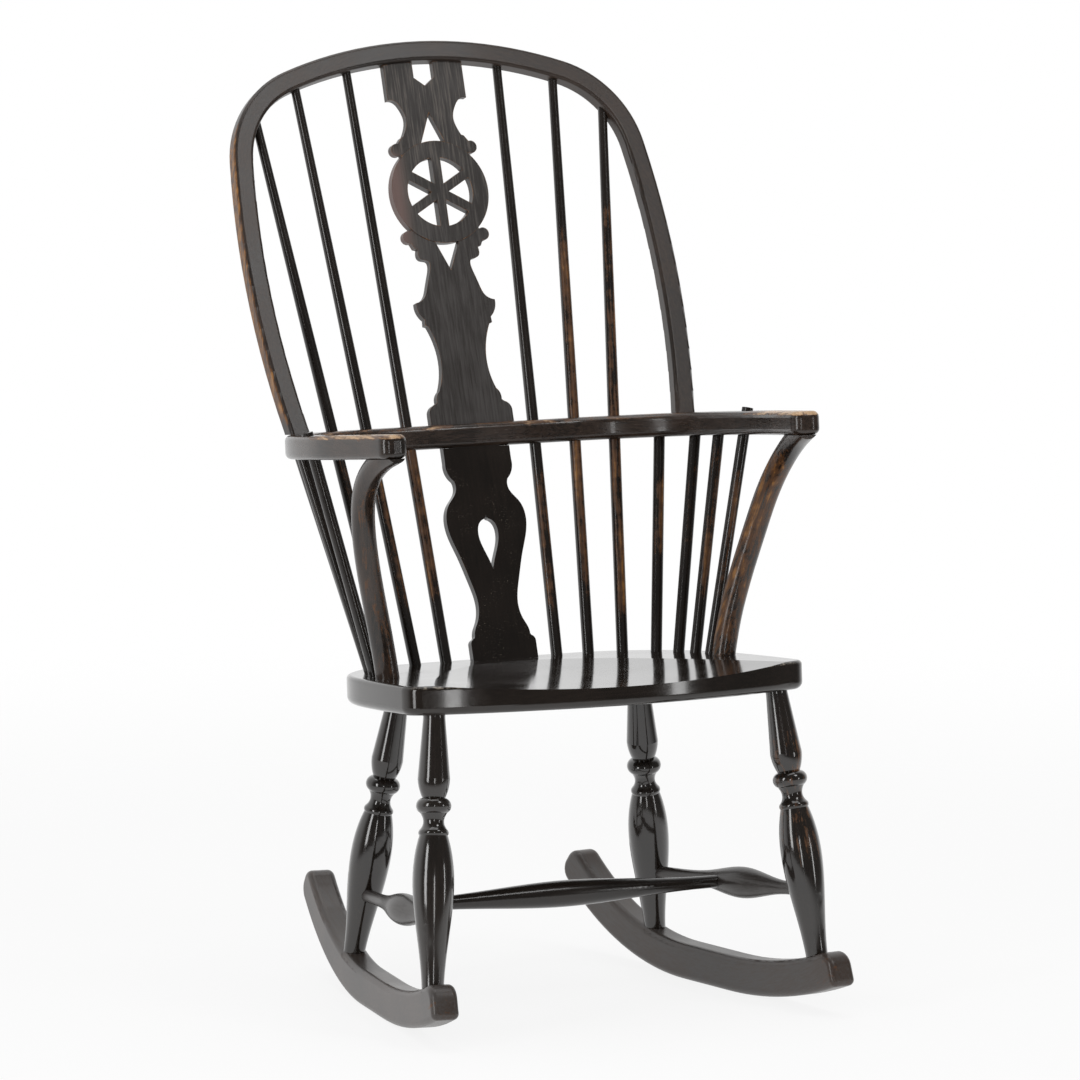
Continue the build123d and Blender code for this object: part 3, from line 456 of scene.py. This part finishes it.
def make_floor():
    """A white floor that keeps the chair's shadow and fades into the white backdrop."""
    mesh = bpy.data.meshes.new("studio_floor")
    reach = FLOOR_REACH
    mesh.from_pydata([(-reach, -reach, 0), (reach, -reach, 0), (reach, reach, 0), (-reach, reach, 0)],
                     [], [(0, 1, 2, 3)])
    floor = bpy.data.objects.new("studio_floor", mesh)
    scene.collection.objects.link(floor)
    look = Finish("studio_floor")
    tree = look.tree
    plain = tree.nodes.new("ShaderNodeBsdfDiffuse")
    plain.inputs["Color"].default_value = FLOOR_WHITE
    glow = tree.nodes.new("ShaderNodeEmission")
    lit = tree.nodes.new("ShaderNodeMixShader")
    look.put(lit.inputs[0], look.times(seen_or_mirrored(tree), FLOOR_GLOW))
    tree.links.new(plain.outputs[0], lit.inputs[1])
    tree.links.new(glow.outputs[0], lit.inputs[2])
    gone = tree.nodes.new("ShaderNodeBsdfTransparent")
    distance = look.math("SQRT", look.add(look.times(look.x, look.x), look.times(look.y, look.y)))
    fade = tree.nodes.new("ShaderNodeMixShader")
    look.put(fade.inputs[0], look.step(distance, FLOOR_GONE, FLOOR_CLEAR))
    tree.links.new(gone.outputs[0], fade.inputs[1])
    tree.links.new(lit.outputs[0], fade.inputs[2])
    output = tree.nodes.new("ShaderNodeOutputMaterial")
    tree.links.new(fade.outputs[0], output.inputs[0])
    mesh.materials.append(look.material)


def make_room():
    """White behind the chair, a dimmer room in front of it, and even light on everything."""
    world = bpy.data.worlds.new("studio")
    world.use_nodes = True
    scene.world = world
    tree = world.node_tree
    background = tree.nodes["Background"]
    path = tree.nodes.new("ShaderNodeLightPath")
    direction = tree.nodes.new("ShaderNodeTexCoord")
    split = tree.nodes.new("ShaderNodeSeparateXYZ")
    tree.links.new(direction.outputs["Generated"], split.inputs[0])
    behind = tree.nodes.new("ShaderNodeMapRange")
    behind.interpolation_type = "SMOOTHSTEP"
    limits = (DIM_UP_TO, WHITE_FROM, FRONT_GLOSS, 1.0)
    for socket, value in zip(list(behind.inputs)[1:5], limits):
        socket.default_value = value
    tree.links.new(split.outputs["Y"], behind.inputs[0])

    def pick(share, first, second):
        node = tree.nodes.new("ShaderNodeMix")
        for socket, value in zip((node.inputs[0], node.inputs[2], node.inputs[3]), (share, first, second)):
            if isinstance(value, float):
                socket.default_value = value
            else:
                tree.links.new(value, socket)
        return node.outputs[0]

    strength = pick(path.outputs["Is Glossy Ray"], AMBIENT, behind.outputs[0])
    strength = pick(path.outputs["Is Transmission Ray"], strength, 1.0)
    strength = pick(path.outputs["Is Camera Ray"], strength, 1.0)
    tree.links.new(strength, background.inputs["Strength"])
    background.inputs["Color"].default_value = (1.0, 1.0, 1.0, 1.0)


def make_softbox(name, place, width, height, power):
    """A soft light that faces the middle of the chair."""
    lamp = bpy.data.lights.new(name, "AREA")
    lamp.shape = "RECTANGLE"
    lamp.size, lamp.size_y = width, height
    lamp.energy = power
    holder = bpy.data.objects.new(name, lamp)
    scene.collection.objects.link(holder)
    holder.location = place
    direction = Vector(CHAIR_MIDDLE) - Vector(place)
    holder.rotation_euler = direction.to_track_quat("-Z", "Y").to_euler()


def make_camera():
    """The photograph's place and angle: far off, long lens, to the right of the chair's front."""
    lens = bpy.data.cameras.new("camera")
    lens.sensor_width = 36.0
    lens.lens = CAMERA_LENS
    lens.clip_end = 100.0
    holder = bpy.data.objects.new("camera", lens)
    scene.collection.objects.link(holder)
    holder.location = CAMERA_PLACE
    holder.rotation_euler = (radians(90 - CAMERA_TILT), 0.0, radians(-CAMERA_TURN))
    scene.camera = holder


CAMERA_PLACE = (-4.6109, -9.8777, 1.9967)
CAMERA_TURN = 25.09              # degrees from +Y towards +X
CAMERA_TILT = 7.709              # degrees down
CAMERA_LENS = 321.2
CHAIR_MIDDLE = (0.0, 0.0, 0.5)

# Name, place, width, height and power in watts.
SOFTBOXES = (("key_right", (-3.0, -1.3, 1.15), 0.7, 2.0, 27.0),
             ("key_left", (1.4, -2.6, 3.75), 1.0, 1.3, 24.0),
             ("strip_left", (1.9, -2.6, 0.55), 0.22, 1.0, 5.0),
             ("strip_right", (-1.2, -3.2, 0.55), 0.22, 1.0, 5.0),
             ("top", (0.0, 0.2, 3.4), 2.2, 2.2, 26.0))

make_floor()
make_room()
for softbox in SOFTBOXES:
    make_softbox(*softbox)
make_camera()
scene.view_settings.view_transform = "Standard"
